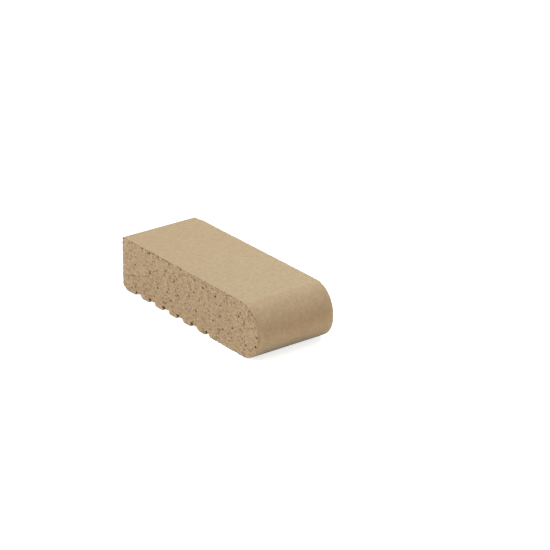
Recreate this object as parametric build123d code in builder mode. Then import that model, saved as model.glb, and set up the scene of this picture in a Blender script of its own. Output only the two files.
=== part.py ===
"""Bullnose pool coping brick: one piece of extruded, wire-cut, fired clay.

X runs from the rear face to the nose, Y across the two wire-cut faces, Z up.
The origin is the middle of the footprint, at the underside.
"""

from build123d import *
import os

os.makedirs("parts", exist_ok=True)

# Overall size in millimetres.
length = 228.6
width = 92.075
thickness = 57.15

# Edges of the section. The nose has a short upright land between its two arcs.
nose_bottom_radius = 24.0
nose_land = 6.0
rear_top_radius = 1.5
rear_bottom_radius = 8.5

# Scored underside: flat ribs with rounded shoulders, and grooves that the mortar keys into.
groove_count = 6
groove_pitch = 24.15
first_groove_from_rear = 27.4
groove_depth = 3.3
groove_mouth = 11.5
groove_ceiling = 8.0
groove_shoulder_radius = 3.0
groove_corner_radius = 1.2

# The upper arc takes what the land and the lower arc leave of the thickness.
nose_top_radius = thickness - nose_land - nose_bottom_radius

rear = -length / 2
nose = length / 2
near = -width / 2
top_tangent = nose - nose_top_radius
bottom_tangent = nose - nose_bottom_radius
first_groove = rear + first_groove_from_rear
groove_middles = [first_groove + number * groove_pitch for number in range(groove_count)]

with BuildPart() as coping_brick:
    # The die's outline, seen along Y: rear face, flat top, rounded nose, flat underside.
    with BuildSketch(Plane.XZ.offset(-near)) as section:
        with BuildLine():
            Line((rear, 0), (rear, thickness))
            Line((rear, thickness), (top_tangent, thickness))
            CenterArc((top_tangent, thickness - nose_top_radius), nose_top_radius, 90, -90)
            Line((nose, thickness - nose_top_radius), (nose, nose_bottom_radius))
            CenterArc((bottom_tangent, nose_bottom_radius), nose_bottom_radius, 0, -90)
            Line((bottom_tangent, 0), (rear, 0))
        make_face()
        fillet(section.vertices().sort_by_distance((rear, 0))[0], rear_bottom_radius)
        fillet(section.vertices().sort_by_distance((rear, thickness))[0], rear_top_radius)

        for middle in groove_middles:
            with BuildLine():
                Polyline(
                    (middle - groove_mouth / 2, 0),
                    (middle - groove_ceiling / 2, groove_depth),
                    (middle + groove_ceiling / 2, groove_depth),
                    (middle + groove_mouth / 2, 0),
                    close=True,
                )
            make_face(mode=Mode.SUBTRACT)

        # Round both shoulders and both ceiling corners of every groove.
        for middle in groove_middles:
            for side in (-1, 1):
                shoulder = (middle + side * groove_mouth / 2, 0)
                fillet(section.vertices().sort_by_distance(shoulder)[0], groove_shoulder_radius)
                corner = (middle + side * groove_ceiling / 2, groove_depth)
                fillet(section.vertices().sort_by_distance(corner)[0], groove_corner_radius)

    # The clay column is cut to the width by a wire.
    extrude(amount=-width)

coping_brick.part.label = "coping_brick"
export_step(coping_brick.part, "parts/coping_brick.step")

bounds = coping_brick.part.bounding_box()
print("volume in cubic centimetres", round(coping_brick.part.volume / 1000, 1))
print("lowest corner", bounds.min, "highest corner", bounds.max)
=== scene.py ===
from math import cos, radians, sin

import bpy
from mathutils import Matrix, Vector


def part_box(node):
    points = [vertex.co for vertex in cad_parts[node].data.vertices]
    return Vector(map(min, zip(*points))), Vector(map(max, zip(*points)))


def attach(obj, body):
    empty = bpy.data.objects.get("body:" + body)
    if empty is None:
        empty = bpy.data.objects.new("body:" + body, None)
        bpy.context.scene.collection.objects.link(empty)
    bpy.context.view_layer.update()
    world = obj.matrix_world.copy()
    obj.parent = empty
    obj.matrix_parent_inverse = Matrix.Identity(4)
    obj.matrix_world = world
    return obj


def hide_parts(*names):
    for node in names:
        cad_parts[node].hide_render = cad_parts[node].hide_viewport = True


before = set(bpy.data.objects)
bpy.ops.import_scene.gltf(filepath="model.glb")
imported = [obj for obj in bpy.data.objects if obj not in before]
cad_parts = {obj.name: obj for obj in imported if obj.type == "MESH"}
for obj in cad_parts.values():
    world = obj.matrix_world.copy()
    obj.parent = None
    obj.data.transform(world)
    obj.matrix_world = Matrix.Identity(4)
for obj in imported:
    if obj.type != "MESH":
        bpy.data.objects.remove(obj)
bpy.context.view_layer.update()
low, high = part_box("coping_brick")
size = high - low
print("frame loaded, brick is", [round(side * 1000, 1) for side in size], "mm")

mm = 0.001


# Small node helpers. They work in geometry trees and in material trees alike.

def put(tree, socket, value):
    if value is None:
        return
    if isinstance(value, bpy.types.NodeSocket):
        tree.links.new(value, socket)
    else:
        socket.default_value = value


def addNode(tree, kind, inputs=None, **settings):
    node = tree.nodes.new(kind)
    for name, value in settings.items():
        setattr(node, name, value)
    for name, value in (inputs or {}).items():
        put(tree, node.inputs[name], value)
    return node


def calc(tree, operation, *values, clamp=False):
    node = tree.nodes.new("ShaderNodeMath")
    node.operation = operation
    node.use_clamp = clamp
    for socket, value in zip(node.inputs, values):
        put(tree, socket, value)
    return node.outputs[0]


def product(tree, first, *others):
    for other in others:
        first = calc(tree, "MULTIPLY", first, other)
    return first


def fadeOut(tree, distance, reach):
    # 1 at the start, 0 from the reach on
    return calc(tree, "SUBTRACT", 1.0, calc(tree, "DIVIDE", distance, reach), clamp=True)


def vec(tree, operation, *values):
    node = tree.nodes.new("ShaderNodeVectorMath")
    node.operation = operation
    for socket, value in zip(node.inputs, values):
        put(tree, socket, value)
    return node.outputs["Value"] if operation in ("LENGTH", "DISTANCE", "DOT_PRODUCT") else node.outputs[0]


def scaled(tree, vector, factor):
    node = addNode(tree, "ShaderNodeVectorMath", operation="SCALE")
    put(tree, node.inputs[0], vector)
    put(tree, node.inputs["Scale"], factor)
    return node.outputs[0]


def combine(tree, x=0.0, y=0.0, z=0.0):
    return addNode(tree, "ShaderNodeCombineXYZ", {"X": x, "Y": y, "Z": z}).outputs[0]


def separate(tree, vector):
    return addNode(tree, "ShaderNodeSeparateXYZ", {"Vector": vector}).outputs


def remap(tree, value, fromLow, fromHigh, toLow=0.0, toHigh=1.0, smooth=False):
    kind = "SMOOTHSTEP" if smooth else "LINEAR"
    inputs = {"Value": value, "From Min": fromLow, "From Max": fromHigh, "To Min": toLow, "To Max": toHigh}
    return addNode(tree, "ShaderNodeMapRange", inputs, interpolation_type=kind).outputs["Result"]


def spread(tree, value, toLow=0.0, toHigh=1.0, half=0.25):
    # a noise seldom strays further than this from its middle
    return remap(tree, value, 0.5 - half, 0.5 + half, toLow, toHigh)


def mixVector(tree, factor, first, second):
    node = addNode(tree, "ShaderNodeMix", data_type="VECTOR")
    put(tree, node.inputs[0], factor)
    put(tree, node.inputs[4], first)
    put(tree, node.inputs[5], second)
    return node.outputs[1]


def noise(tree, place, grain, detail, roughness, seed):
    # grain is the size of one blob, in metres
    inputs = {"Vector": place, "W": seed, "Scale": 1 / grain, "Detail": detail, "Roughness": roughness}
    return addNode(tree, "ShaderNodeTexNoise", inputs, noise_dimensions="4D").outputs[0]


# The brick's body, made by rule: a lower and an upper profile, ruled between, then torn by the wire.

brick = {
    "noseLand": 6 * mm,
    "noseBottomRadius": 24 * mm,
    "rearTopRadius": 0.8 * mm,
    "rearBottomRadius": 8.5 * mm,
    "grooveCount": 6,
    "groovePitch": 24.15 * mm,
    "firstGroove": 27.4 * mm,     # its middle, from the rear face
    "grooveDepth": 3.3 * mm,
    "grooveMouth": 11.5 * mm,
    "grooveCeiling": 8 * mm,
    "shoulderRadius": 3 * mm,     # at a groove's mouth
    "cornerRadius": 1.2 * mm,     # at its ceiling
    "pinch": 3.4 * mm,            # the last groove is this much narrower at the near end
    "pinchLength": 25 * mm,
    "arcPoints": {"rearTop": 4, "rearBottom": 12, "groove": 6, "nose": 40},
    "columns": 364,               # vertices along the length
    "rows": 96,                   # up the cut faces
    "slices": 32,                 # across the width, close together at the cut faces
    "crowding": 2.5,
    "nearCorner": 0.4 * mm,       # the upright arrises at the rear, worn round
    "farCorner": 2.5 * mm,
    "cornerDrag": 2.2 * mm,       # the far one was dragged in as well
    "cornerDragLength": 18 * mm,
    "cornerDragFade": 2.0,
    "burr": 0.7 * mm,             # the near face stands out at its rear arris
    "burrLength": 5 * mm,
    "edgeRounding": 0.18 * mm,
    "noseRounding": (0.30 * mm, 1.5 * mm),   # more round the nose, and most low down
    "roundingReach": 4.0 * mm,
    "wornBelow": 36 * mm,
    "wornFade": 14 * mm,
    "wornOverBed": (1 * mm, 9 * mm, 0.5, 1.0),   # two heights, and the share of the wear at each
    "farWear": 0.25,              # the far arris of the nose is less worn and less torn
    "farRelief": 0.5,
    "averaging": 5,               # rounds of evening out the directions the chips sink in
    "waviness": 0.40 * mm,        # how far the wire wandered
    "tearing": 0.60 * mm,         # worm-like coarse grain of the cut
    "tearWidth": 0.2,
    "grain": 0.22 * mm,           # fine grain of the cut
    "proud": 0.52 * mm,           # how far the crests of the cut stand out
    "tornReach": 5 * mm,          # how far behind the cut the clay was still dragged
    "tornFade": 1.6,
    "seed": 7,
    # noises: size of a blob, detail, roughness, seed
    "edgeGrain": (6 * mm, 2.0, 0.6, 3.0),
    "waveGrain": (28 * mm, 1.0, 0.5, 1.0),
    "tearGrain": (3.2 * mm, 2.0, 0.55, 2.0),
    "fineGrain": (1.3 * mm, 1.0, 0.5, 5.0),
}

# Pits and chips the wire pulled out. Each radius runs from the commonest to the rarest.
pitting = {
    "faint": {"perSquareMetre": 56000, "radius": (0.46 * mm, 1.15 * mm), "dark": (0.08, 1.00), "seed": 11},
    "ledge": {"perSquareMetre": 42000, "radius": (0.80 * mm, 1.80 * mm), "dark": (0.25, 1.00), "seed": 12},
    "ledgeHeight": 3.0 * mm,   # the torn strip under the top arris
    "radiusSkew": 2.8,         # the higher a skew, the rarer the large and the dark ones
    "darkSkew": 2.2,
    "darkSeedStep": 50,
    "stretch": 1.45,           # pits are this much longer than high
    "wobble": (0.72, 1.28),
    "wobbleGrain": (1.2 * mm, 1.0, 0.5, 6.0),
    "bowl": 0.75,              # depth to radius
    "lip": 0.14 * mm,
    "lipAt": 1.35,             # of the radius
    "lipSharpness": 3.0,
    # round the arris of the nose
    "arris": {"perSquareMetre": 30000, "radius": (0.40 * mm, 1.00 * mm), "skew": 2.0, "out": 0.45,
              "seed": 13},
    "arrisReach": 7.0 * mm,
    "arrisFrom": 0.25,         # of the way round from the top to the foremost line
    # a dent where each groove's rear wall meets its ceiling, darkened as painted shade
    "mouthShadePit": {"radius": 1.8 * mm, "dark": 1.2, "aside": 0.6 * mm, "above": 0.3 * mm},
    # broken out of the rim, as a share of its vertices
    "chip": {"share": 0.11, "shareOnNose": 0.02, "radius": (0.4 * mm, 1.7 * mm), "skew": 3.5, "out": 0.5,
             "dark": 0.4, "wobble": (0.7, 1.3), "wobbleGrain": (1.4 * mm, 1.0, 0.5, 0.0),
             "seed": 31, "lotSeed": 23},
    # a drag line the wire left low at the rear
    "drag": {"start": (5.0, 16.4), "end": (29.5, 23.2), "count": 16, "radius": (0.5 * mm, 1.1 * mm),
             "dark": (0.1, 0.6), "seed": 71},
    # the few that show most: from the rear face, above the bed, radius (mm), darkness
    "named": [
        (11.3, 54.0, 1.1, 0.5), (34.8, 55.2, 1.5, 1.0), (47.3, 54.4, 1.3, 0.7), (62.2, 55.4, 1.1, 0.5),
        (81.2, 54.5, 1.1, 0.4), (101.3, 55.4, 1.3, 0.6), (125.2, 52.3, 1.2, 0.6), (138.6, 49.0, 1.1, 0.7),
        (159.2, 47.4, 1.2, 1.0), (168.0, 40.7, 1.1, 0.6), (47.3, 32.5, 1.1, 0.7), (96.0, 26.0, 1.2, 0.7),
        (166.5, 28.9, 1.3, 1.0), (61.4, 21.4, 1.2, 0.7), (126.4, 20.6, 1.3, 0.9), (187.4, 23.9, 1.1, 0.7),
        (119.0, 3.4, 1.3, 1.0), (208.9, 13.9, 1.1, 0.8), (224.0, 17.7, 1.2, 1.0), (226.0, 27.4, 1.0, 0.7),
        (213.2, 51.4, 1.2, 0.35), (217.6, 48.8, 1.2, 0.35), (14.5, 5.7, 1.2, 0.6), (123.1, 38.9, 1.1, 0.55),
        (171.2, 16.6, 1.1, 0.55), (109.4, 22.1, 1.1, 0.55), (71.4, 9.4, 1.1, 0.5), (181.0, 8.5, 1.1, 0.5),
        (154.7, 20.2, 1.0, 0.5), (133.2, 33.9, 1.0, 0.5), (94.3, 42.7, 1.0, 0.5), (13.5, 36.5, 1.0, 0.5),
    ],
    "namedDark": 1.3,
}

# How light or dark the cut is, kept on the mesh for the clay's colours: painted shade in its hollows and
# under the arrises, painted highlight on its crests and lips. Below 0 is darker.
# Four values in one are two heights and the value at each.
tones = {
    "tearMiddle": 0.45,
    "tear": 0.75,
    "fine": -1.7,
    "lip": 0.35,
    "ledgeBand": 1.8 * mm,     # the strip of painted shadow under the top arris
    "ledgeGrain": (5 * mm, 2.0, 0.6, 16.0),
    "ledge": (0.1, -0.9),
    "ledgeStart": (22 * mm, 0.2),   # it grows to full over this length, from this share at the rear
    "noseBand": 5 * mm,        # a strip inside the nose's arris, more even, with painted shade high up
    "noseEvenness": -0.6,
    "nose": (15 * mm, 40 * mm, 0.11, -0.36),
    "wrapGrain": (4 * mm, 2.0, 0.6, 18.0),   # the torn look goes round the nose's arris raggedly
    "wrapRagged": (0.7, 1.3),
    "wrap": (30 * mm, 48 * mm, 1.0, 0.15),
    "fade": 0.9 * mm,          # how far tones and pits go behind the cut
    "fadeOnNose": 1.3 * mm,    # and how much further at the nose
    "bedEdgeShadeBand": 1.6 * mm,      # the strip of painted shade along the bed
}


def addInputs(tree, values):
    # a named input for each value, and what the modifier has to set them to
    settings = {}
    for name, value in values.items():
        kind = "NodeSocketInt" if isinstance(value, int) else "NodeSocketFloat"
        socket = tree.interface.new_socket(name, in_out="INPUT", socket_type=kind)
        settings[socket.identifier] = value
    return settings


def pick(tree, index, values, kind="FLOAT"):
    node = addNode(tree, "GeometryNodeIndexSwitch", data_type=kind)
    while len(node.index_switch_items) < len(values):
        node.index_switch_items.new()
    put(tree, node.inputs[0], index)
    for socket, value in zip(node.inputs[1:], values):
        put(tree, socket, value)
    return node.outputs[0]


def pointIndex(tree):
    return addNode(tree, "GeometryNodeInputIndex").outputs[0]


def position(tree):
    return addNode(tree, "GeometryNodeInputPosition").outputs[0]


def named(tree, name, kind="FLOAT"):
    return addNode(tree, "GeometryNodeInputNamedAttribute", {"Name": name}, data_type=kind).outputs[0]


def store(tree, geometry, name, value, kind="FLOAT"):
    inputs = {"Geometry": geometry, "Name": name, "Value": value}
    return addNode(tree, "GeometryNodeStoreNamedAttribute", inputs, data_type=kind, domain="POINT").outputs[0]


def move(tree, geometry, offset=None, position=None, selection=None):
    return addNode(tree, "GeometryNodeSetPosition", {
        "Geometry": geometry, "Selection": selection, "Position": position, "Offset": offset,
    }).outputs[0]


def join(tree, parts):
    node = addNode(tree, "GeometryNodeJoinGeometry")
    for part in reversed(parts):
        tree.links.new(part, node.inputs[0])
    return node.outputs[0]


def profileCurve(tree, count, place, radius, arcPoints):
    # a polyline of count points, with its corners rounded
    line = addNode(tree, "GeometryNodeMeshLine", {"Count": count})
    curve = addNode(tree, "GeometryNodeMeshToCurve", {"Mesh": line.outputs[0]})
    placed = move(tree, curve.outputs[0], position=place)
    return addNode(
        tree,
        "GeometryNodeFilletCurve",
        {"Curve": placed, "Count": arcPoints, "Radius": radius, "Limit Radius": True},
        mode="POLY",
    ).outputs[0]


def alongCurve(tree, curve, factor):
    sample = addNode(tree, "GeometryNodeSampleCurve", {"Curves": curve, "Factor": factor}, mode="FACTOR")
    return sample.outputs["Position"]


def upperProfile(tree, given, ends):
    index = pointIndex(tree)
    top, rear, nose = given["Thickness"], ends["rear"], ends["nose"]
    shoulder = calc(tree, "SUBTRACT", top, given["Rear Top Radius"])
    brow = calc(tree, "SUBTRACT", top, ends["noseTopRadius"])
    placeX = pick(tree, index, [rear, rear, nose, nose])
    placeZ = pick(tree, index, [shoulder, top, top, brow])
    radius = pick(tree, index, [0.0, given["Rear Top Radius"], ends["noseTopRadius"], 0.0])
    arcs = brick["arcPoints"]
    arcPoints = pick(tree, index, [1, arcs["rearTop"], arcs["nose"], 1], "INT")
    return profileCurve(tree, 4, combine(tree, placeX, 0.0, placeZ), radius, arcPoints)


def lowerProfile(tree, given, ends, pinch):
    index = pointIndex(tree)
    step = calc(tree, "SUBTRACT", index, 2.0)
    groove = calc(tree, "FLOOR", calc(tree, "DIVIDE", step, 4.0))
    corner = calc(tree, "SUBTRACT", step, calc(tree, "MULTIPLY", groove, 4.0))
    middle = calc(tree, "MULTIPLY_ADD", groove, given["Groove Pitch"], given["First Groove"])
    halfMouth = calc(tree, "MULTIPLY", given["Groove Mouth"], 0.5)
    halfCeiling = calc(tree, "MULTIPLY", given["Groove Ceiling"], 0.5)
    sideways = pick(tree, corner, [
        calc(tree, "MULTIPLY", halfMouth, -1.0),
        calc(tree, "MULTIPLY", halfCeiling, -1.0),
        halfCeiling,
        halfMouth,
    ])
    # only the nose-side wall of the last groove is pinched
    inLast = calc(tree, "GREATER_THAN", groove, calc(tree, "SUBTRACT", given["Groove Count"], 1.5))
    noseWall = calc(tree, "MULTIPLY", inLast, calc(tree, "GREATER_THAN", corner, 1.5))
    sideways = calc(tree, "MULTIPLY_ADD", noseWall, -pinch, sideways)
    grooveX = calc(tree, "ADD", calc(tree, "ADD", ends["rear"], middle), sideways)
    grooveZ = pick(tree, corner, [0.0, given["Groove Depth"], given["Groove Depth"], 0.0])
    grooveRadius = pick(tree, corner, [
        given["Shoulder Radius"], given["Corner Radius"], given["Corner Radius"], given["Shoulder Radius"],
    ])
    # stretch 0 and 1 are the rear corner's points, 2 the grooves, 3 and 4 the nose corner's
    lastGroove = calc(tree, "MULTIPLY_ADD", given["Groove Count"], 4.0, 1.0)
    starts = [0.5, 1.5, calc(tree, "ADD", lastGroove, 0.5), calc(tree, "ADD", lastGroove, 1.5)]
    stretch = 0.0
    for start in starts:
        stretch = calc(tree, "ADD", stretch, calc(tree, "GREATER_THAN", index, start))
    rear, nose = ends["rear"], ends["nose"]
    heel, toe = given["Rear Bottom Radius"], given["Nose Bottom Radius"]
    placeX = pick(tree, stretch, [rear, rear, grooveX, nose, nose])
    placeZ = pick(tree, stretch, [heel, 0.0, grooveZ, 0.0, toe])
    radius = pick(tree, stretch, [0.0, heel, grooveRadius, toe, 0.0])
    arcs = brick["arcPoints"]
    arcPoints = pick(tree, stretch, [1, arcs["rearBottom"], arcs["groove"], arcs["nose"], 1], "INT")
    count = calc(tree, "ADD", lastGroove, 3.0)
    return profileCurve(tree, count, combine(tree, placeX, 0.0, placeZ), radius, arcPoints)


def roundCorner(tree, geometry, given, side, radius):
    # an upright arris at the rear, worn round in plan
    x, y = separate(tree, position(tree))[:2]
    cornerX = calc(tree, "MULTIPLY_ADD", given["Length"], -0.5, radius)
    cornerY = calc(tree, "SUBTRACT", calc(tree, "MULTIPLY", given["Width"], 0.5), radius)
    outX = calc(tree, "SUBTRACT", cornerX, x)
    outY = calc(tree, "SUBTRACT", calc(tree, "MULTIPLY", y, side), cornerY)
    distance = vec(tree, "LENGTH", combine(tree, outX, outY, 0.0))
    beyond = product(
        tree,
        calc(tree, "GREATER_THAN", outX, 0.0),
        calc(tree, "GREATER_THAN", outY, 0.0),
        calc(tree, "GREATER_THAN", distance, radius),
    )
    inward = calc(tree, "SUBTRACT", 1.0, calc(tree, "DIVIDE", radius, calc(tree, "MAXIMUM", distance, 1e-6)))
    offset = combine(tree, product(tree, outX, inward), product(tree, outY, inward, -side), 0.0)
    return move(tree, geometry, offset=offset, selection=beyond)


def ruledBlock(tree, given, ends):
    # a block of unit size, its vertices then ruled between the two profiles
    block = addNode(tree, "GeometryNodeMeshCube", {
        "Size": (1.0, 1.0, 1.0),
        "Vertices X": brick["columns"],
        "Vertices Y": brick["slices"],
        "Vertices Z": brick["rows"],
    }).outputs[0]
    along, across, up = separate(tree, position(tree))[:3]
    upper = upperProfile(tree, given, ends)
    lower = lowerProfile(tree, given, ends, 0.0)
    pinched = lowerProfile(tree, given, ends, brick["pinch"])
    share = calc(tree, "ADD", along, 0.5)
    fromMiddle = calc(tree, "MULTIPLY", calc(tree, "ABSOLUTE", across), 2.0)
    crowded = calc(tree, "POWER", calc(tree, "SUBTRACT", 1.0, fromMiddle), brick["crowding"])
    side = calc(tree, "SIGN", across)
    behind = calc(tree, "MULTIPLY", crowded, ends["halfWidth"])
    sideways = calc(tree, "MULTIPLY", calc(tree, "SUBTRACT", ends["halfWidth"], behind), side)
    nearEnd = fadeOut(tree, behind, brick["pinchLength"])
    nearEnd = calc(tree, "MULTIPLY", nearEnd, calc(tree, "LESS_THAN", side, 0.0))
    bedLine = mixVector(tree, nearEnd, alongCurve(tree, lower, share), alongCurve(tree, pinched, share))
    ruled = mixVector(tree, calc(tree, "ADD", up, 0.5), bedLine, alongCurve(tree, upper, share))

    # what later steps ask of a vertex, kept while the block is still square
    edge = 0.4999   # as good as the block's half side
    isCut = calc(tree, "GREATER_THAN", fromMiddle, 2 * edge)
    atEnd = calc(tree, "GREATER_THAN", calc(tree, "ABSOLUTE", along), edge)
    onRim = calc(tree, "MAXIMUM", atEnd, calc(tree, "GREATER_THAN", calc(tree, "ABSOLUTE", up), edge))
    fromTop = calc(tree, "MULTIPLY", calc(tree, "SUBTRACT", 0.5, up), given["Thickness"])
    fromBed = calc(tree, "MULTIPLY", calc(tree, "ADD", 0.5, up), given["Thickness"])
    fromRear = calc(tree, "MULTIPLY", share, given["Length"])
    fromNose = calc(tree, "MULTIPLY", calc(tree, "SUBTRACT", 1.0, share), given["Length"])
    fromEnds = calc(tree, "MINIMUM", fromRear, fromNose)
    fromRim = calc(tree, "MINIMUM", calc(tree, "MINIMUM", fromTop, fromBed), fromEnds)
    kept = {
        "cut": isCut,
        "rim": product(tree, isCut, onRim),
        "pit": 0.0,
        "behind": behind,
        "fromArris": calc(tree, "ADD", behind, product(tree, fromRim, isCut)),
        "ledge": product(tree, fadeOut(tree, fromTop, tones["ledgeBand"]), isCut),
        "bedEdgeShade": product(tree, fadeOut(tree, fromBed, tones["bedEdgeShadeBand"]), isCut),
        "side": side,
        "bed": calc(tree, "LESS_THAN", up, -edge),
    }
    geometry = block
    for name, value in kept.items():
        geometry = store(tree, geometry, name, value)
    clean = separate(tree, ruled)
    face = calc(tree, "MULTIPLY", side, ends["halfWidth"])
    geometry = store(tree, geometry, "flat", combine(tree, clean[0], face, clean[2]), "FLOAT_VECTOR")
    shaped = move(tree, geometry, position=vec(tree, "ADD", ruled, combine(tree, 0.0, sideways, 0.0)))
    shaped = roundCorner(tree, shaped, given, -1.0, brick["nearCorner"])
    shaped = roundCorner(tree, shaped, given, 1.0, brick["farCorner"])

    # how deep a groove is here, for the painted shade inside the grooves
    parts = separate(tree, position(tree))
    toeStart = calc(tree, "SUBTRACT", ends["nose"], given["Nose Bottom Radius"])
    heelEnd = calc(tree, "ADD", ends["rear"], given["Rear Bottom Radius"])
    grooved = product(
        tree,
        calc(tree, "LESS_THAN", parts["X"], toeStart),
        calc(tree, "GREATER_THAN", parts["X"], heelEnd),
        calc(tree, "DIVIDE", parts["Z"], given["Groove Depth"], clamp=True),
    )
    return store(tree, shaped, "groove", product(tree, named(tree, "bed"), grooved))


def noseShare(tree, ends):
    # 0 on the flat top, 1 on the foremost line of the nose
    start = calc(tree, "SUBTRACT", ends["nose"], ends["noseTopRadius"])
    return remap(tree, separate(tree, position(tree))["X"], start, ends["nose"], smooth=True)


def farShare(tree, onNose):
    return calc(tree, "MULTIPLY", onNose, calc(tree, "GREATER_THAN", named(tree, "side"), 0.0))


def wearArrises(tree, given, ends, shaped):
    # an arris is never quite sharp, least of all down the nose
    onRim = calc(tree, "GREATER_THAN", named(tree, "rim"), 0.5)
    edgeNoise = noise(tree, position(tree), *brick["edgeGrain"])
    normal = addNode(tree, "GeometryNodeInputNormal").outputs[0]
    easing = product(tree, given["Edge Rounding"], -2.0, edgeNoise)
    eased = move(tree, shaped, offset=scaled(tree, normal, easing), selection=onRim)
    eased = store(tree, eased, "outward", normal, "FLOAT_VECTOR")
    averaging = {"Value": named(tree, "outward", "FLOAT_VECTOR"), "Iterations": brick["averaging"]}
    softened = addNode(tree, "GeometryNodeBlurAttribute", averaging, data_type="FLOAT_VECTOR").outputs[0]
    eased = store(tree, eased, "leaning", vec(tree, "NORMALIZE", softened), "FLOAT_VECTOR")
    height = separate(tree, position(tree))["Z"]
    slight, strong = brick["noseRounding"]
    wornBelow = brick["wornBelow"]
    worn = product(
        tree,
        remap(tree, height, wornBelow, wornBelow + brick["wornFade"], strong, slight, smooth=True),
        remap(tree, height, *brick["wornOverBed"], smooth=True),
        remap(tree, named(tree, "side"), -1.0, 1.0, 1.0, brick["farWear"]),
    )
    near = fadeOut(tree, named(tree, "fromArris"), brick["roundingReach"])
    sink = product(tree, near, near, product(tree, noseShare(tree, ends), worn, -1.0))
    return move(tree, eased, offset=scaled(tree, named(tree, "leaning", "FLOAT_VECTOR"), sink))


def draw(tree, least, most, skew, seed):
    # a random number on each point, low far more often than high
    node = addNode(tree, "FunctionNodeRandomValue", data_type="FLOAT")
    put(tree, node.inputs[2], 0.0)
    put(tree, node.inputs[3], 1.0)
    put(tree, node.inputs["Seed"], seed)
    return remap(tree, calc(tree, "POWER", node.outputs[1], skew), 0.0, 1.0, least, most)


def fromNearest(tree, points, place, value, kind="FLOAT"):
    inputs = {"Geometry": points, "Sample Position": place}
    nearest = addNode(tree, "GeometryNodeSampleNearest", inputs).outputs[0]
    inputs = {"Geometry": points, "Value": value, "Index": nearest}
    return addNode(tree, "GeometryNodeSampleIndex", inputs, data_type=kind).outputs[0]


def squeezed(tree, place):
    # a place on the cut face with its length pressed together, in which a stretched pit is round
    return vec(tree, "MULTIPLY", place, (1 / pitting["stretch"], 1.0, 1.0))


def scatterPits(tree, face, selection, given, seed):
    # pit centres strewn over a face, each with its radius and its darkness
    scatter = addNode(tree, "GeometryNodeDistributePointsOnFaces", {
        "Mesh": face, "Selection": selection, "Density": given["perSquareMetre"], "Seed": seed,
    }, distribute_method="RANDOM").outputs["Points"]
    radius = draw(tree, *given["radius"], pitting["radiusSkew"], given["seed"])
    dark = draw(tree, *given["dark"], pitting["darkSkew"], given["seed"] + pitting["darkSeedStep"])
    return store(tree, store(tree, scatter, "reach", radius), "dark", dark)


def rowOfPits(tree, count, radius, dark, x, y, z):
    line = addNode(tree, "GeometryNodeMeshLine", {"Count": count}).outputs[0]
    points = addNode(tree, "GeometryNodeMeshToPoints", {"Mesh": line}).outputs[0]
    sized = store(tree, points, "reach", radius)
    shaded = store(tree, sized, "dark", dark)
    return move(tree, shaded, position=combine(tree, x, y, z))


def namedPits(tree, faceY):
    # the few pits that are placed one by one, on the near face
    spots = pitting["named"]
    index = pointIndex(tree)
    spotX = pick(tree, index, [low.x + spot[0] * mm for spot in spots])
    spotZ = pick(tree, index, [spot[1] * mm for spot in spots])
    radius = pick(tree, index, [spot[2] * mm for spot in spots])
    dark = pick(tree, index, [spot[3] * pitting["namedDark"] for spot in spots])
    return rowOfPits(tree, len(spots), radius, dark, spotX, faceY, spotZ)


def mouthShadePits(tree, given, faceY):
    # dents at the groove mouths, their dark is painted shade
    spot = pitting["mouthShadePit"]
    middle = calc(tree, "MULTIPLY_ADD", pointIndex(tree), given["Groove Pitch"], given["First Groove"])
    corner = calc(tree, "MULTIPLY_ADD", given["Groove Ceiling"], -0.5, middle)
    spotX = calc(tree, "ADD", corner, low.x - spot["aside"])
    spotZ = calc(tree, "ADD", given["Groove Depth"], spot["above"])
    return rowOfPits(tree, given["Groove Count"], spot["radius"], spot["dark"], spotX, faceY, spotZ)


def dragLine(tree, faceY):
    drag = pitting["drag"]
    startX, startZ = low.x + drag["start"][0] * mm, drag["start"][1] * mm
    endX, endZ = low.x + drag["end"][0] * mm, drag["end"][1] * mm
    share = calc(tree, "DIVIDE", pointIndex(tree), drag["count"] - 1.0)
    lineX = calc(tree, "MULTIPLY_ADD", share, endX - startX, startX)
    lineZ = calc(tree, "MULTIPLY_ADD", share, endZ - startZ, startZ)
    radius = draw(tree, *drag["radius"], 1.0, drag["seed"])
    dark = draw(tree, *drag["dark"], 1.0, drag["seed"] + 1)
    return rowOfPits(tree, drag["count"], radius, dark, lineX, faceY, lineZ)


def strewPits(tree, given, ends, eased):
    # pit centres on the cut faces, thicker under the top arris, and the near face's own marks
    height = separate(tree, position(tree))["Z"]
    ledgeLine = calc(tree, "SUBTRACT", given["Thickness"], pitting["ledgeHeight"])
    wholeCut = calc(tree, "GREATER_THAN", named(tree, "cut"), 0.99)
    onLedge = calc(tree, "MULTIPLY", wholeCut, calc(tree, "GREATER_THAN", height, ledgeLine))
    nearY = calc(tree, "MULTIPLY", ends["halfWidth"], -1.0)
    pits = join(tree, [
        scatterPits(tree, eased, wholeCut, pitting["faint"], given["Seed"]),
        scatterPits(tree, eased, onLedge, pitting["ledge"], given["Seed"]),
        namedPits(tree, nearY),
        mouthShadePits(tree, given, nearY),
        dragLine(tree, nearY),
    ])
    x, y, z = separate(tree, position(tree))[:3]
    onFace = calc(tree, "MULTIPLY", calc(tree, "SIGN", y), ends["halfWidth"])
    return move(tree, pits, position=squeezed(tree, combine(tree, x, onFace, z)))


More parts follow.
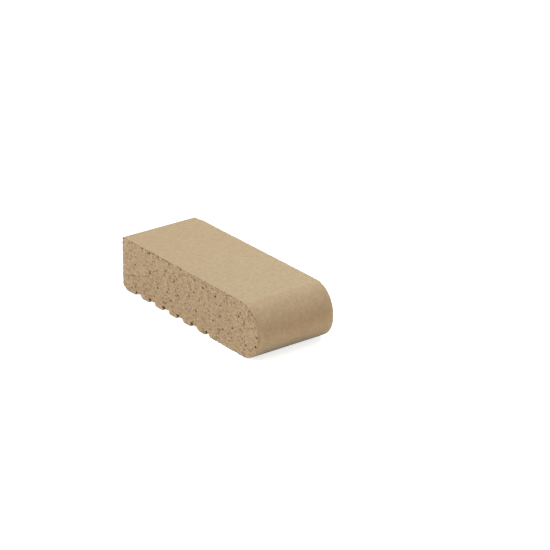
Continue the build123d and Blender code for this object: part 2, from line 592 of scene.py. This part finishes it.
def tearFaces(tree, given, ends, eased):
    # the relief of a cut: a slow wave, worm-like tearing, fine grain, and the pits with their lips
    # read from the clean section, so that a whole row of vertices behind the arris moves with it
    pits = strewPits(tree, given, ends, eased)
    onNose = noseShare(tree, ends)
    farNose = farShare(tree, onNose)
    cut, side, behind = named(tree, "cut"), named(tree, "side"), named(tree, "behind")
    place = named(tree, "flat", "FLOAT_VECTOR")
    placeX, placeZ = separate(tree, place)["X"], separate(tree, place)["Z"]
    flat = squeezed(tree, place)
    wave = spread(tree, noise(tree, place, *brick["waveGrain"]))
    worm = noise(tree, flat, *brick["tearGrain"])
    worm = remap(tree, calc(tree, "ABSOLUTE", calc(tree, "SUBTRACT", worm, 0.5)), 0.0, brick["tearWidth"])
    fine = noise(tree, flat, *brick["fineGrain"])
    centre = fromNearest(tree, pits, flat, position(tree), "FLOAT_VECTOR")
    reach = fromNearest(tree, pits, flat, named(tree, "reach"))
    dark = fromNearest(tree, pits, flat, named(tree, "dark"))
    wobble = spread(tree, noise(tree, place, *pitting["wobbleGrain"]), *pitting["wobble"])
    away = calc(tree, "DIVIDE", vec(tree, "DISTANCE", flat, centre), calc(tree, "MULTIPLY", reach, wobble))
    bowl = calc(tree, "SQRT", calc(tree, "SUBTRACT", 1.0, calc(tree, "MULTIPLY", away, away), clamp=True))
    fromLip = calc(tree, "ABSOLUTE", calc(tree, "SUBTRACT", away, pitting["lipAt"]))
    ring = calc(tree, "MULTIPLY", fromLip, pitting["lipSharpness"])
    ring = calc(tree, "SUBTRACT", 1.0, ring, clamp=True)
    depth = calc(tree, "MULTIPLY", wave, given["Waviness"])
    depth = calc(tree, "MULTIPLY_ADD", worm, given["Tearing"], depth)
    depth = calc(tree, "MULTIPLY_ADD", fine, given["Grain"], depth)
    depth = calc(tree, "ADD", depth, product(tree, bowl, reach, pitting["bowl"]))
    depth = calc(tree, "MULTIPLY_ADD", ring, -pitting["lip"], depth)
    depth = calc(tree, "SUBTRACT", depth, brick["proud"])

    # a burr at the near face's rear arris, and the far face's dragged in
    burrEnd = calc(tree, "ADD", ends["rear"], brick["burrLength"])
    burr = remap(tree, placeX, ends["rear"], burrEnd, brick["burr"], 0.0, smooth=True)
    depth = calc(tree, "SUBTRACT", depth, calc(tree, "MULTIPLY", burr, calc(tree, "LESS_THAN", side, 0.0)))
    drag = fadeOut(tree, calc(tree, "SUBTRACT", placeX, ends["rear"]), brick["cornerDragLength"])
    drag = calc(tree, "POWER", drag, brick["cornerDragFade"])
    drag = calc(tree, "MULTIPLY", drag, calc(tree, "GREATER_THAN", side, 0.0))
    depth = calc(tree, "MULTIPLY_ADD", drag, brick["cornerDrag"], depth)
    depth = calc(tree, "MULTIPLY", depth, remap(tree, farNose, 0.0, 1.0, 1.0, brick["farRelief"]))
    fade = calc(tree, "POWER", fadeOut(tree, behind, given["Torn Reach"]), brick["tornFade"])
    inward = product(tree, depth, fade, side, -1.0)

    # the tones that go with it: painted shade in the hollows, painted highlight on the crests and lips
    tone = calc(tree, "MULTIPLY", calc(tree, "SUBTRACT", tones["tearMiddle"], worm), tones["tear"])
    tone = calc(tree, "MULTIPLY_ADD", calc(tree, "SUBTRACT", fine, 0.5), tones["fine"], tone)
    tone = calc(tree, "MULTIPLY_ADD", ring, tones["lip"], tone)
    # painted shadow under the top arris
    ledge = noise(tree, place, *tones["ledgeGrain"])
    startLength, startShare = tones["ledgeStart"]
    ledgeStart = calc(tree, "ADD", ends["rear"], startLength)
    tone = calc(tree, "ADD", tone, product(
        tree,
        named(tree, "ledge"),
        spread(tree, ledge, *tones["ledge"], half=0.15),
        remap(tree, placeX, ends["rear"], ledgeStart, startShare, 1.0),
    ))
    noseBand = calc(tree, "MULTIPLY", fadeOut(tree, named(tree, "fromArris"), tones["noseBand"]), onNose)
    tone = calc(tree, "MULTIPLY", tone, calc(tree, "MULTIPLY_ADD", noseBand, tones["noseEvenness"], 1.0))
    tone = calc(tree, "MULTIPLY_ADD", noseBand, remap(tree, placeZ, *tones["nose"]), tone)
    blotch = noise(tree, place, *tones["wrapGrain"])
    shortest, longest = [share * pitting["arrisReach"] for share in tones["wrapRagged"]]
    wrapped = fadeOut(tree, behind, spread(tree, blotch, shortest, longest, half=0.2))
    wrapped = product(tree, onNose, remap(tree, placeZ, *tones["wrap"]), wrapped)
    fadeLength = calc(tree, "MULTIPLY_ADD", onNose, tones["fadeOnNose"], tones["fade"])
    onCut = remap(tree, behind, 0.0, fadeLength, 1.0, 0.0)
    noted = store(tree, eased, "torn", calc(tree, "MAXIMUM", cut, wrapped))
    noted = store(tree, noted, "tone", calc(tree, "MULTIPLY", tone, onCut))
    noted = store(tree, noted, "pit", product(tree, bowl, dark, onCut))
    return move(tree, noted, offset=combine(tree, 0.0, inward, 0.0))


def scoop(tree, geometry, centres):
    # every vertex inside a chip's ball sinks straight in until it lies on the ball's far side
    chip = pitting["chip"]
    place = position(tree)
    centre = fromNearest(tree, centres, place, position(tree), "FLOAT_VECTOR")
    radius = fromNearest(tree, centres, place, named(tree, "reach"))
    wobble = noise(tree, place, *chip["wobbleGrain"])
    radius = calc(tree, "MULTIPLY", radius, spread(tree, wobble, *chip["wobble"]))
    away = vec(tree, "SUBTRACT", place, centre)
    distance = vec(tree, "LENGTH", away)
    leaning = named(tree, "leaning", "FLOAT_VECTOR")
    above = vec(tree, "DOT_PRODUCT", away, leaning)
    beside = calc(tree, "SUBTRACT", product(tree, distance, distance), product(tree, above, above))
    below = calc(tree, "SUBTRACT", product(tree, radius, radius), beside)
    sink = calc(tree, "ADD", above, calc(tree, "SQRT", calc(tree, "MAXIMUM", below, 0.0)))
    share = calc(tree, "DIVIDE", calc(tree, "SUBTRACT", radius, distance), radius, clamp=True)
    shade = calc(tree, "MULTIPLY", share, chip["dark"])
    noted = store(tree, geometry, "pit", calc(tree, "MAXIMUM", named(tree, "pit"), shade))
    offset = scaled(tree, leaning, calc(tree, "MULTIPLY", sink, -1.0))
    return move(tree, noted, offset=offset, selection=calc(tree, "LESS_THAN", distance, radius))


def chipArrises(tree, given, ends, torn):
    onNose = noseShare(tree, ends)
    farNose = farShare(tree, onNose)
    outward = named(tree, "outward", "FLOAT_VECTOR")
    chip, arris = pitting["chip"], pitting["arris"]
    lot = addNode(tree, "FunctionNodeRandomValue", data_type="BOOLEAN")
    chance = remap(tree, onNose, 0.0, 1.0, chip["share"], chip["shareOnNose"])
    put(tree, lot.inputs["Probability"], calc(tree, "MULTIPLY", chance, calc(tree, "SUBTRACT", 1.0, farNose)))
    put(tree, lot.inputs["Seed"], chip["lotSeed"])
    onRim = calc(tree, "GREATER_THAN", named(tree, "rim"), 0.5)
    chosen = {"Mesh": torn, "Selection": calc(tree, "MULTIPLY", onRim, lot.outputs[3])}
    seats = addNode(tree, "GeometryNodeMeshToPoints", chosen).outputs[0]
    seats = store(tree, seats, "reach", draw(tree, *chip["radius"], chip["skew"], chip["seed"]))
    out = calc(tree, "MULTIPLY", named(tree, "reach"), chip["out"])
    seats = move(tree, seats, offset=scaled(tree, outward, out))

    # and pits round the nose's arris
    beside = product(
        tree,
        calc(tree, "LESS_THAN", named(tree, "cut"), 0.01),
        calc(tree, "LESS_THAN", named(tree, "behind"), pitting["arrisReach"]),
        calc(tree, "GREATER_THAN", calc(tree, "SUBTRACT", onNose, farNose), pitting["arrisFrom"]),
    )
    strewn = addNode(tree, "GeometryNodeDistributePointsOnFaces", {
        "Mesh": torn, "Selection": beside, "Density": arris["perSquareMetre"], "Seed": given["Seed"],
    }, distribute_method="RANDOM").outputs
    radius = draw(tree, *arris["radius"], arris["skew"], arris["seed"])
    nosePits = store(tree, strewn["Points"], "reach", radius)
    out = calc(tree, "MULTIPLY", named(tree, "reach"), arris["out"])
    nosePits = move(tree, nosePits, offset=scaled(tree, strewn["Normal"], out))
    return scoop(tree, torn, join(tree, [seats, nosePits]))


def bodyTree(clay):
    tree = bpy.data.node_groups.new("extrudedBrick", "GeometryNodeTree")
    tree.is_modifier = True
    settings = addInputs(tree, {
        "Length": size.x,
        "Width": size.y,
        "Thickness": size.z,
        "Nose Land": brick["noseLand"],
        "Nose Bottom Radius": brick["noseBottomRadius"],
        "Rear Top Radius": brick["rearTopRadius"],
        "Rear Bottom Radius": brick["rearBottomRadius"],
        "Groove Count": brick["grooveCount"],
        "Groove Pitch": brick["groovePitch"],
        "First Groove": brick["firstGroove"],
        "Groove Depth": brick["grooveDepth"],
        "Groove Mouth": brick["grooveMouth"],
        "Groove Ceiling": brick["grooveCeiling"],
        "Shoulder Radius": brick["shoulderRadius"],
        "Corner Radius": brick["cornerRadius"],
        "Edge Rounding": brick["edgeRounding"],
        "Waviness": brick["waviness"],
        "Tearing": brick["tearing"],
        "Grain": brick["grain"],
        "Torn Reach": brick["tornReach"],
        "Seed": brick["seed"],
    })
    tree.interface.new_socket("Geometry", in_out="OUTPUT", socket_type="NodeSocketGeometry")
    given = addNode(tree, "NodeGroupInput").outputs
    lowerNose = calc(tree, "ADD", given["Nose Land"], given["Nose Bottom Radius"])
    ends = {
        "nose": calc(tree, "MULTIPLY", given["Length"], 0.5),
        "rear": calc(tree, "MULTIPLY", given["Length"], -0.5),
        "halfWidth": calc(tree, "MULTIPLY", given["Width"], 0.5),
        "noseTopRadius": calc(tree, "SUBTRACT", given["Thickness"], lowerNose),
    }
    shaped = ruledBlock(tree, given, ends)
    eased = wearArrises(tree, given, ends, shaped)
    torn = tearFaces(tree, given, ends, eased)
    chipped = chipArrises(tree, given, ends, torn)

    # nothing hangs below the bed
    x, y, z = separate(tree, position(tree))[:3]
    chipped = move(tree, chipped, position=combine(tree, x, y, calc(tree, "MAXIMUM", z, 0.0)))

    smooth = addNode(tree, "GeometryNodeSetShadeSmooth", {"Geometry": chipped}).outputs[0]
    real = addNode(tree, "GeometryNodeRealizeInstances", {"Geometry": smooth}).outputs[0]
    coated = addNode(tree, "GeometryNodeSetMaterial", {"Geometry": real, "Material": clay}).outputs[0]
    result = addNode(tree, "NodeGroupOutput")
    put(tree, result.inputs[0], coated)
    return tree, settings


def makeBody(clay):
    tree, settings = bodyTree(clay)
    holder = bpy.data.objects.new("brickHolder", bpy.data.meshes.new("brickHolder"))
    bpy.context.scene.collection.objects.link(holder)
    modifier = holder.modifiers.new("extrudedBrick", "NODES")
    modifier.node_group = tree
    for identifier, value in settings.items():
        modifier[identifier] = value
    bpy.context.view_layer.update()
    graph = bpy.context.evaluated_depsgraph_get()
    mesh = bpy.data.meshes.new_from_object(holder.evaluated_get(graph))
    mesh.name = "copingBody"
    bpy.data.objects.remove(holder)
    body = bpy.data.objects.new("copingBody", mesh)
    bpy.context.scene.collection.objects.link(body)
    return body


# Unglazed buff clay: smooth where the die shaped it, open and darker where the wire tore it.

clayLook = {
    "skin": (0.568, 0.431, 0.272, 1.0),
    "skinWarm": (0.572, 0.429, 0.269, 1.0),
    "skinCool": (0.563, 0.432, 0.274, 1.0),
    "speck": (0.430, 0.310, 0.185, 1.0),
    "cut": (0.530, 0.379, 0.228, 1.0),
    "rust": (0.588, 0.356, 0.171, 1.0),
    # painted highlight for the crests, painted shade for the hollows
    "crestHighlight": (0.715, 0.540, 0.352, 1.0),
    "cavityShade": (0.345, 0.222, 0.104, 1.0),
    # painted shade along the bed
    "bedShadeColour": (0.230, 0.185, 0.120, 1.0),
    # pits, chips and grooves darken to this: partly the clay's own dark, partly painted shade
    "pit": (0.095, 0.047, 0.011, 1.0),
    "roughness": 0.9,
    "specular": 0.12,
    "turnedShadePower": 0.70,
}

# Tints the clay's colours are multiplied by.
clayLook["tints"] = {
    "paintedLightTop": (1.014, 1.038, 1.032, 1.0),      # painted light: the top, lighter towards the nose
    "turnedShade": (0.745, 0.655, 0.581, 1.0),     # painted shade where the skin turns away from the top
    "paintedBounce": (1.125, 1.18, 1.243, 1.0),       # painted light low on the nose, as thrown up off the floor
    "turningShade": (0.80, 0.935, 1.10, 1.0),      # painted shade where it turns under
    # painted shade on the underside
    "undersideShade": (0.70, 0.82, 0.94, 1.0),
    "bedPaintedLight": (1.08, 1.09, 1.10, 1.0),       # painted light: the cut made lighter low down, against the shade near the bed
    "bedGreying": (0.97, 1.04, 1.13, 1.0),       # paler and greyer right along the bed
    "rearEdgeShade": (0.88, 0.955, 1.085, 1.0),    # painted shade right along its rear arris
}

# Noise in the clay: size of a blob, detail, roughness, seed.
clayLook["grains"] = {
    "tint": (14 * mm, 2.0, 0.5, 8.0),
    "sand": (2.8 * mm, 2.0, 0.6, 4.0),
    "speck": (1.8 * mm, 1.0, 0.5, 14.0),
    "stain": (11 * mm, 3.0, 0.6, 6.0),
    "crumb": (1.5 * mm, 2.0, 0.6, 21.0),
    "grit": (0.7 * mm, 3.0, 0.7, 12.0),
}

# Where each begins and ends, in the value it follows, then how strong it is at each (0 and 1 if left out).
clayLook["ranges"] = {
    "cool": (0.3, 0.5),
    "warm": (0.5, 0.7),
    "sand": (0.25, 0.75, 0.88, 1.12),
    "speck": (0.72, 0.8, 0.0, 0.6),
    "forward": (-60 * mm, 50 * mm),
    "flat": (0.975, 0.998),
    "turnedShade": (-0.05, 0.99, 1.0, 0.0),
    "turnedShadeAlong": (0.0, 80 * mm, 0.5, 1.0),
    "paintedBounceHeight": (33 * mm, 22 * mm),
    "paintedBounceAlong": (60 * mm, 90 * mm),
    "turningShade": (-0.3, -0.62),
    "undersideShade": (-0.6, -0.9),
    "bedStain": (3 * mm, 15 * mm, 0.14, 0.0),
    "rearStain": (1 * mm, 6 * mm, 0.16, 0.0),
    "rust": (0.60, 0.82, 0.0, 0.75),
    "crestHighlight": (0.0, 0.6, 0.0, 0.8),
    "cavityShade": (0.0, -0.6, 0.0, 0.8),
    "bedShadeColour": (0.1, 0.9, 0.0, 0.62),
    "crumb": (0.30, 0.70, 0.86, 1.14),
    "bedPaintedLight": (3 * mm, 12 * mm, 1.0, 0.0),
    "bedGreying": (1 * mm, 4.5 * mm, 1.0, 0.0),
    "rearEdgeShade": (0.5 * mm, 4.5 * mm, 1.0, 0.0),
    "pit": (0.0, 0.8, 0.0, 0.97),
    "groove": (0.1, 0.8, 0.0, 0.35),
    "grit": (0.0, 1.0, 0.04 * mm, 0.16 * mm),
}


def mixColour(tree, factor, first, second, blend="MIX"):
    node = addNode(tree, "ShaderNodeMix", data_type="RGBA", blend_type=blend)
    put(tree, node.inputs[0], factor)
    put(tree, node.inputs[6], first)
    put(tree, node.inputs[7], second)
    return node.outputs[2]


def greyLevel(tree, value):
    node = addNode(tree, "ShaderNodeCombineColor")
    for socket in node.inputs:
        put(tree, socket, value)
    return node.outputs[0]


def carried(tree, name, output="Fac"):
    return addNode(tree, "ShaderNodeAttribute", attribute_name=name).outputs[output]


def clayMaterial():
    material = bpy.data.materials.new("firedClay")
    material.use_nodes = True
    tree = material.node_tree
    tree.nodes.clear()

    def within(value, name):
        return remap(tree, value, *clayLook["ranges"][name])

    def grain(name, where):
        return noise(tree, where, *clayLook["grains"][name])

    def tinted(colour, name, amount):
        return mixColour(tree, amount, colour, clayLook["tints"][name], "MULTIPLY")

    def grained(colour, name, where):
        return mixColour(tree, 1.0, colour, greyLevel(tree, within(grain(name, where), name)), "MULTIPLY")

    place = addNode(tree, "ShaderNodeTexCoord").outputs["Object"]
    x, z = separate(tree, place)["X"], separate(tree, place)["Z"]
    fromRear = calc(tree, "SUBTRACT", x, low.x)
    facing = separate(tree, carried(tree, "outward", "Vector"))["Z"]
    tone = carried(tree, "tone")

    # the skin the die left: slow tints, a fine sandy grain, few specks
    tint = grain("tint", place)
    skin = mixColour(tree, within(tint, "cool"), clayLook["skinCool"], clayLook["skin"])
    skin = mixColour(tree, within(tint, "warm"), skin, clayLook["skinWarm"])
    skin = grained(skin, "sand", place)
    skin = mixColour(tree, within(grain("speck", place), "speck"), skin, clayLook["speck"])
    # painted light: the top made lighter towards the nose
    skin = tinted(skin, "paintedLightTop", product(tree, within(x, "forward"), within(facing, "flat")))
    # painted shade: darker where the skin turns away from the top, half as much at the rear
    turnedShade = calc(tree, "POWER", within(facing, "turnedShade"), clayLook["turnedShadePower"])
    skin = tinted(skin, "turnedShade", product(tree, turnedShade, within(x, "turnedShadeAlong")))
    # painted light low on the nose
    skin = tinted(skin, "paintedBounce", product(tree, within(z, "paintedBounceHeight"), within(x, "paintedBounceAlong")))
    # painted shade where the skin turns under, and more on the underside
    skin = tinted(skin, "turningShade", within(facing, "turningShade"))
    skin = tinted(skin, "undersideShade", within(facing, "undersideShade"))

    # the cut: painted shade in its hollows, painted highlight on its crests, with rusty stains
    moreStain = calc(tree, "MAXIMUM", within(z, "bedStain"), within(fromRear, "rearStain"))
    stain = calc(tree, "ADD", grain("stain", place), moreStain)
    torn = mixColour(tree, within(stain, "rust"), clayLook["cut"], clayLook["rust"])
    torn = mixColour(tree, within(tone, "crestHighlight"), torn, clayLook["crestHighlight"])
    torn = mixColour(tree, within(tone, "cavityShade"), torn, clayLook["cavityShade"])
    # painted shade along the bed
    torn = mixColour(tree, within(carried(tree, "bedEdgeShade"), "bedShadeColour"), torn, clayLook["bedShadeColour"])
    torn = grained(torn, "crumb", squeezed(tree, place))
    # painted light: the cut made lighter low down
    torn = tinted(torn, "bedPaintedLight", within(z, "bedPaintedLight"))
    # paler and greyer right along the bed
    torn = tinted(torn, "bedGreying", within(z, "bedGreying"))
    # painted shade along the rear arris
    torn = tinted(torn, "rearEdgeShade", within(fromRear, "rearEdgeShade"))

    cut = carried(tree, "torn")
    colour = mixColour(tree, cut, skin, torn)
    # pits and chips darker, partly the clay's own dark inside them and partly painted shade
    colour = mixColour(tree, within(carried(tree, "pit"), "pit"), colour, clayLook["pit"])
    # painted shade inside the grooves
    colour = mixColour(tree, within(carried(tree, "groove"), "groove"), colour, clayLook["pit"])
    bump = addNode(tree, "ShaderNodeBump", {
        "Height": grain("grit", place),
        "Strength": 1.0,
        "Distance": within(cut, "grit"),
    })
    surface = addNode(tree, "ShaderNodeBsdfPrincipled", {
        "Base Color": colour,
        "Normal": bump.outputs[0],
        "Roughness": clayLook["roughness"],
        "Specular IOR Level": clayLook["specular"],
    })
    addNode(tree, "ShaderNodeOutputMaterial", {"Surface": surface.outputs[0]})
    return material


clay = clayMaterial()
body = makeBody(clay)
body.data.update()
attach(body, "root")
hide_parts("coping_brick")
print("brick body made,", sum(len(face.vertices) - 2 for face in body.data.polygons), "triangles")


# A white sweep to stand on, soft light from above and in front, and the camera.

studio = {
    "floorSide": 6.0,
    "floorDrop": 0.1 * mm,
    "floorColour": (0.92, 0.92, 0.92, 1.0),
    "cameraFill": 0.70,      # how much of the floor's white is its own, seen by the camera
    "underFill": 0.92,       # and right under the brick
    "fillEdge": 3 * mm,
    "worldLight": 0.20,
    "lampAim": (0.0, 0.0, 0.03),
}

lamps = {
    "overhead": {"place": (0.15, -0.2, 1.6), "size": 1.8, "watts": 6.4},
    "front": {"place": (-0.7, -1.6, 0.9), "size": 1.2, "watts": 14.1},
    "noseSide": {"place": (1.6, -0.3, 0.3), "size": 0.5, "watts": 6.9},
    "behind": {"place": (-0.3, 1.5, 1.2), "size": 1.2, "watts": 23.7},
}

shot = {
    "azimuth": 52.145,
    "elevation": 23.520,
    "roll": 0.58,
    "lens": 157.09,
    "sensor": 36.0,
    "distance": 2.4293,
    "aim": (0.006206, 0.057511, 0.030045),
}


def makeFloor():
    half = studio["floorSide"] / 2
    drop = -studio["floorDrop"]
    corners = [(-half, -half, drop), (half, -half, drop), (half, half, drop), (-half, half, drop)]
    mesh = bpy.data.meshes.new("floor")
    mesh.from_pydata(corners, [], [(0, 1, 2, 3)])
    floor = bpy.data.objects.new("floor", mesh)
    bpy.context.scene.collection.objects.link(floor)
    material = bpy.data.materials.new("whiteSweep")
    material.use_nodes = True
    tree = material.node_tree
    tree.nodes.clear()
    seen = addNode(tree, "ShaderNodeLightPath").outputs["Is Camera Ray"]
    # painted light: whiter in the shade under the brick, which only shows through the grooves
    x, y = separate(tree, addNode(tree, "ShaderNodeTexCoord").outputs["Object"])[:2]
    besideX = calc(tree, "SUBTRACT", calc(tree, "ABSOLUTE", x), high.x - brick["noseBottomRadius"])
    besideY = calc(tree, "SUBTRACT", calc(tree, "ABSOLUTE", y), high.y)
    outside = calc(tree, "MAXIMUM", besideX, besideY)
    under, beyond = studio["underFill"], studio["cameraFill"]
    fill = remap(tree, outside, 0.0, studio["fillEdge"], under, beyond, smooth=True)
    matt = addNode(tree, "ShaderNodeBsdfDiffuse", {"Color": studio["floorColour"]})
    own = addNode(tree, "ShaderNodeEmission", {
        "Color": (1.0, 1.0, 1.0, 1.0),
        "Strength": calc(tree, "MULTIPLY", seen, fill),
    })
    both = addNode(tree, "ShaderNodeAddShader")
    put(tree, both.inputs[0], matt.outputs[0])
    put(tree, both.inputs[1], own.outputs[0])
    addNode(tree, "ShaderNodeOutputMaterial", {"Surface": both.outputs[0]})
    mesh.materials.append(material)


def makeWorld():
    # white where it is seen, and no more than soft light on the brick
    world = bpy.data.worlds.new("studio")
    bpy.context.scene.world = world
    world.use_nodes = True
    tree = world.node_tree
    tree.nodes.clear()
    path = addNode(tree, "ShaderNodeLightPath").outputs
    mirrored = calc(tree, "MAXIMUM", path["Is Glossy Ray"], path["Is Transmission Ray"])
    direct = calc(tree, "MAXIMUM", path["Is Camera Ray"], mirrored)
    strength = remap(tree, direct, 0.0, 1.0, studio["worldLight"], 1.0)
    light = addNode(tree, "ShaderNodeBackground", {"Color": (1.0, 1.0, 1.0, 1.0), "Strength": strength})
    addNode(tree, "ShaderNodeOutputWorld", {"Surface": light.outputs[0]})


def makeLamp(name, given):
    data = bpy.data.lights.new(name, "AREA")
    data.shape = "DISK"
    data.size = given["size"]
    data.energy = given["watts"]
    lamp = bpy.data.objects.new(name, data)
    lamp.location = given["place"]
    back = Vector(given["place"]) - Vector(studio["lampAim"])
    lamp.rotation_euler = back.to_track_quat("Z", "Y").to_euler()
    bpy.context.scene.collection.objects.link(lamp)


def makeCamera():
    data = bpy.data.cameras.new("shot")
    data.sensor_width = shot["sensor"]
    data.lens = shot["lens"]
    turn, lift, roll = radians(shot["azimuth"]), radians(shot["elevation"]), radians(shot["roll"])
    back = Vector((sin(turn) * cos(lift), -cos(turn) * cos(lift), sin(lift)))
    right = Vector((0, 0, 1)).cross(back).normalized()
    upright = back.cross(right)
    camera = bpy.data.objects.new("shot", data)
    axes = Matrix((
        right * cos(roll) + upright * sin(roll),
        upright * cos(roll) - right * sin(roll),
        back,
    )).transposed()
    camera.matrix_world = Matrix.Translation(Vector(shot["aim"]) + back * shot["distance"]) @ axes.to_4x4()
    bpy.context.scene.collection.objects.link(camera)
    bpy.context.scene.camera = camera


makeFloor()
makeWorld()
for name, given in lamps.items():
    makeLamp(name, given)
makeCamera()
bpy.context.scene.view_settings.view_transform = "Standard"
print("studio, lamps and camera made")
